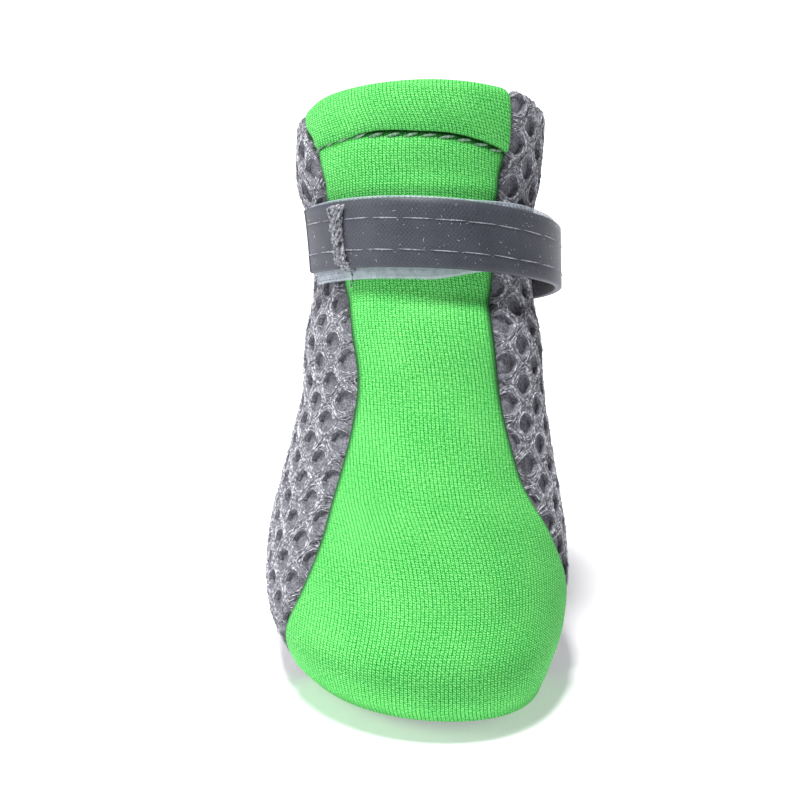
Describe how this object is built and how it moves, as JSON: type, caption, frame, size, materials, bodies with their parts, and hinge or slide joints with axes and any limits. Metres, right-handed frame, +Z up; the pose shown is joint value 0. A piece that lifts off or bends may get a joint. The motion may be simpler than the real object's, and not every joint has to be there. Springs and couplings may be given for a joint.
{
  "type": "dog boot",
  "caption": "Small soft dog boot: padded knit front, open air-mesh sides, leaning shaft with a folded collar, hook-and-loop strap with a yarn keeper, rubber sole.",
  "frame": {"origin": "middle of the flat pad under the sole, where the boot rests", "axes": "+Z up, toe towards -Y, heel towards +Y, +X on the right of someone who looks at the toe"},
  "size_m": [0.0428, 0.073, 0.0804],
  "materials": {
    "upper_fabric": "matt fine knit on a foam core, fluorescent green, with grey air mesh at the sides",
    "sole_rubber": "matt dark rubber",
    "insole_felt": "matt felt",
    "hook_plastic": "milky moulded hooks",
    "reflective_webbing": "satin blue-grey reflective coating",
    "keeper_yarn": "fuzzy spun yarn"
  },
  "bodies": {
    "root": {"upper": "upper_fabric", "outsole": "sole_rubber", "insole": "insole_felt", "hook_tape": "hook_plastic", "strap": "reflective_webbing", "keeper": "keeper_yarn"}
  },
  "joints": []
}
